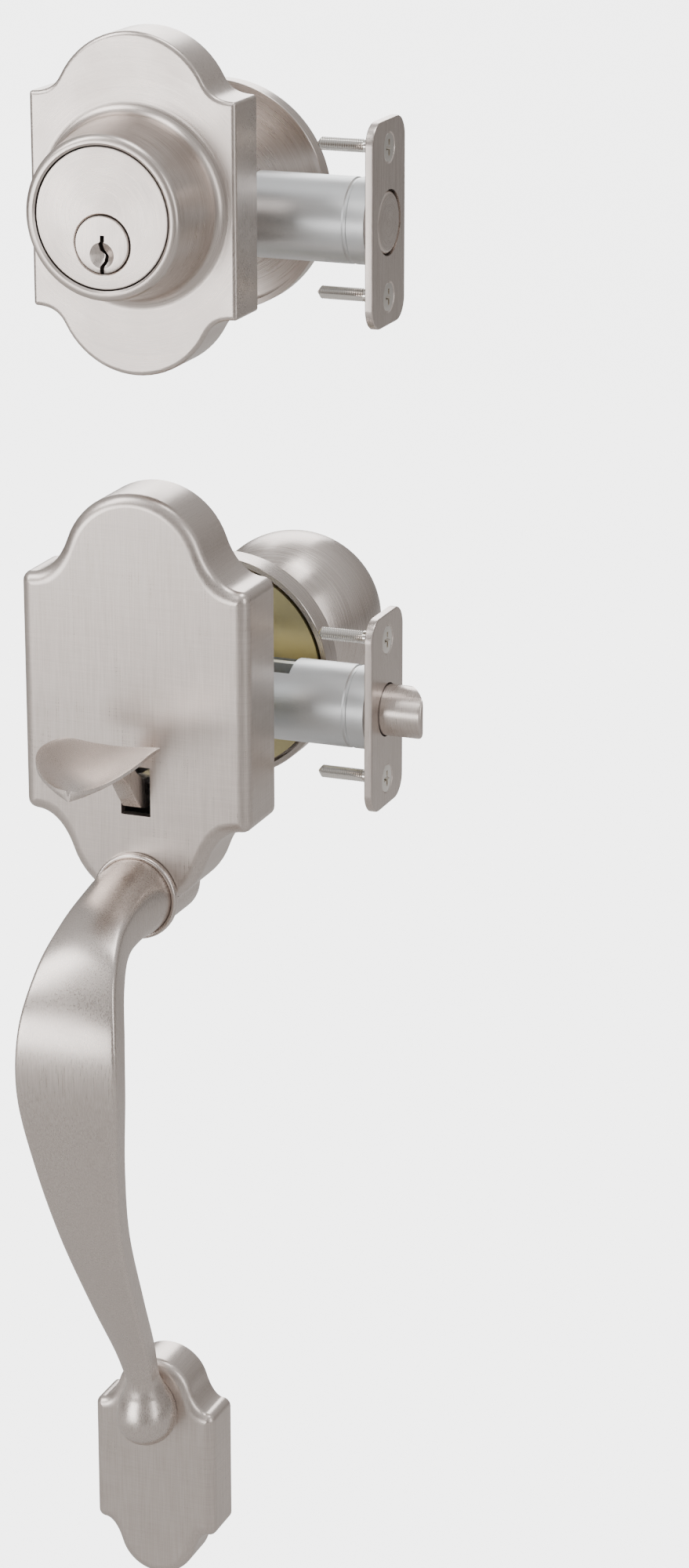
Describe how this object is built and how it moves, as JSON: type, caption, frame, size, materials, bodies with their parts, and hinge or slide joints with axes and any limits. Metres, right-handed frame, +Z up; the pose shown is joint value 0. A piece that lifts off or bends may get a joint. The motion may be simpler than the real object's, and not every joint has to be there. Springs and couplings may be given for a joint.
{
  "type": "deadbolt and handle entry lock set",
  "caption": "Keyed deadbolt with inside thumbturn above a thumb-latch grip handle with inside knob, joined through a door by their bolt, latch, spindle and screws.",
  "frame": {"origin": "where the latch's cross bore axis meets the outside face of the door", "axes": "+Y goes into the door from outside, +Z up, +X towards the door's edge and the bolts"},
  "size_m": [0.1075, 0.1997, 0.4633],
  "materials": {
    "satin_nickel": "satin nickel with fine straight brushing",
    "spun_nickel": "satin nickel with brushing in circles round its axis",
    "bright_nickel": "bright nickel plate",
    "yellow_zinc": "yellow zinc plate",
    "brass": "machined brass",
    "zinc_steel": "zinc-plated pressed steel",
    "hard_steel": "oiled hardened steel"
  },
  "bodies": {
    "fixed": {"deadbolt_plate": "satin_nickel", "cylinder_housing": "spun_nickel", "driver_pin_1": "brass", "driver_pin_2": "brass", "driver_pin_3": "brass", "driver_pin_4": "brass", "driver_pin_5": "brass", "thumbturn_rose": "spun_nickel", "through_screw_left": "bright_nickel", "through_screw_right": "bright_nickel", "bolt_case": "zinc_steel", "deadbolt_faceplate": "satin_nickel", "deadbolt_faceplate_screw_top": "bright_nickel", "deadbolt_faceplate_screw_bottom": "bright_nickel", "latch_case": "zinc_steel", "latch_spring": "hard_steel", "latch_faceplate": "satin_nickel", "latch_faceplate_screw_top": "bright_nickel", "latch_faceplate_screw_bottom": "bright_nickel", "handle_plate": "satin_nickel", "handle_back_plate": "zinc_steel", "handle_post_left": "yellow_zinc", "handle_post_right": "yellow_zinc", "thumb_pivot_pin": "hard_steel", "grip": "satin_nickel", "grip_bolt_upper": "zinc_steel", "grip_bolt_lower": "zinc_steel", "lower_plate": "satin_nickel", "lower_back_plate": "zinc_steel", "lower_anchor_screw": "zinc_steel", "knob_rose": "spun_nickel", "knob_mount_plate": "yellow_zinc", "knob_screw_left": "bright_nickel", "knob_screw_right": "bright_nickel"},
    "thumbturn": {"thumbturn": "satin_nickel", "thumbturn_clip": "hard_steel"},
    "key_plug": {"key_plug": "spun_nickel", "plug_retainer": "brass", "key_pin_1": "brass", "key_pin_2": "brass", "key_pin_3": "brass", "key_pin_4": "brass", "key_pin_5": "brass"},
    "crank": {"bolt_crank": "zinc_steel", "tailpiece": "zinc_steel"},
    "bolt": {"deadbolt_bolt": "satin_nickel", "anti_saw_pin": "hard_steel", "bolt_link": "zinc_steel", "bolt_link_rivet": "hard_steel"},
    "knob": {"knob": "spun_nickel", "knob_sleeve": "zinc_steel", "knob_clip": "hard_steel", "spindle": "zinc_steel", "latch_crank": "zinc_steel"},
    "latch": {"latch_bolt": "satin_nickel", "latch_link": "zinc_steel", "latch_link_rivet": "hard_steel"},
    "thumbpiece": {"thumbpiece": "satin_nickel"},
    "lift_slide": {"lift_slide": "zinc_steel"}
  },
  "joints": [
    {"name": "thumbturn_turn", "type": "hinge", "parent": "fixed", "child": "thumbturn", "pos_m": [0, 0.04445, 0.1397], "axis": [0, 1, 0], "range_deg": [0, 90]},
    {"name": "key_plug_turn", "type": "hinge", "parent": "fixed", "child": "key_plug", "pos_m": [0, -0.02, 0.1397], "axis": [0, 1, 0], "range_deg": [0, 90]},
    {"name": "crank_turn", "type": "hinge", "parent": "fixed", "child": "crank", "pos_m": [0, 0.02223, 0.1397], "axis": [0, 1, 0], "range_deg": [0, 90]},
    {"name": "bolt_throw", "type": "slide", "parent": "fixed", "child": "bolt", "axis": [1, 0, 0], "range_m": [0, 0.0254]},
    {"name": "knob_turn", "type": "hinge", "parent": "fixed", "child": "knob", "pos_m": [0, 0.04445, 0], "axis": [0, -1, 0], "range_deg": [0, 60], "stiffness_Nm_per_rad": 0.35},
    {"name": "latch_draw", "type": "slide", "parent": "fixed", "child": "latch", "axis": [-1, 0, 0], "range_m": [0, 0.012], "deforming": ["latch_spring"]},
    {"name": "thumbpiece_press", "type": "hinge", "parent": "fixed", "child": "thumbpiece", "pos_m": [0, -0.011, -0.0205], "axis": [1, 0, 0], "range_deg": [0, 14], "stiffness_Nm_per_rad": 0.6},
    {"name": "lift_slide_rise", "type": "slide", "parent": "fixed", "child": "lift_slide", "axis": [0, 0, 1], "range_m": [0, 0.002]}
  ],
  "couplings": [
    {"joint": "key_plug_turn", "follows": "thumbturn_turn", "ratio": 1},
    {"joint": "crank_turn", "follows": "thumbturn_turn", "ratio": 1},
    {"joint": "bolt_throw", "follows": "thumbturn_turn", "m_per_rad": 0.01617},
    {"joint": "latch_draw", "follows": "knob_turn", "m_per_rad": 0.011459},
    {"joint": "lift_slide_rise", "follows": "thumbpiece_press", "m_per_rad": 0.00818}
  ]
}
